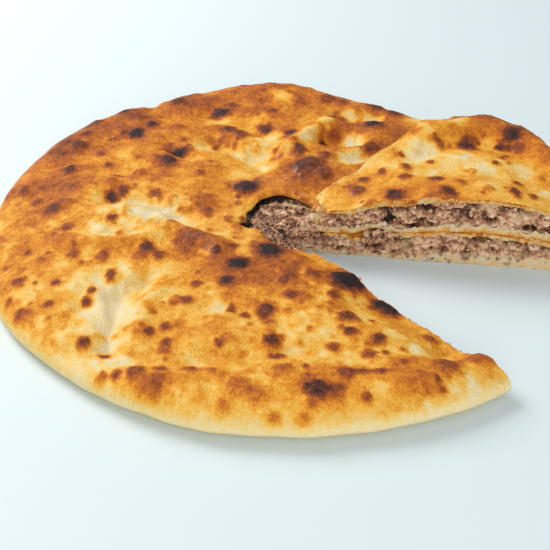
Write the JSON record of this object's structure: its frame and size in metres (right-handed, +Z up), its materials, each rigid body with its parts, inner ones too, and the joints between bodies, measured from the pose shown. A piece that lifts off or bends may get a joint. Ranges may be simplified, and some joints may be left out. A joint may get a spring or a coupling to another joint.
{
  "type": "filled flatbread pie",
  "caption": "Round flat meat-filled bread with a steam vent in the middle and a wedge cut out, its slice lying on top; the cuts show mince between thin baked crusts.",
  "frame": {"origin": "under the middle of the whole, on the flat foot of the pie", "axes": "+Z up through the pie, +X to the right and -Y toward the viewer of the picture, so the gap opens to the front right"},
  "size_m": [0.3232, 0.322, 0.0403],
  "materials": {
    "crust": "baked dough, golden with brown and charred blisters, a little oily",
    "filling": "cooked minced meat, grey brown and crumbly"
  },
  "bodies": {
    "root": {"pie_crust": "crust", "pie_filling": "filling", "slice_crust": "crust", "slice_filling": "filling"}
  },
  "joints": []
}
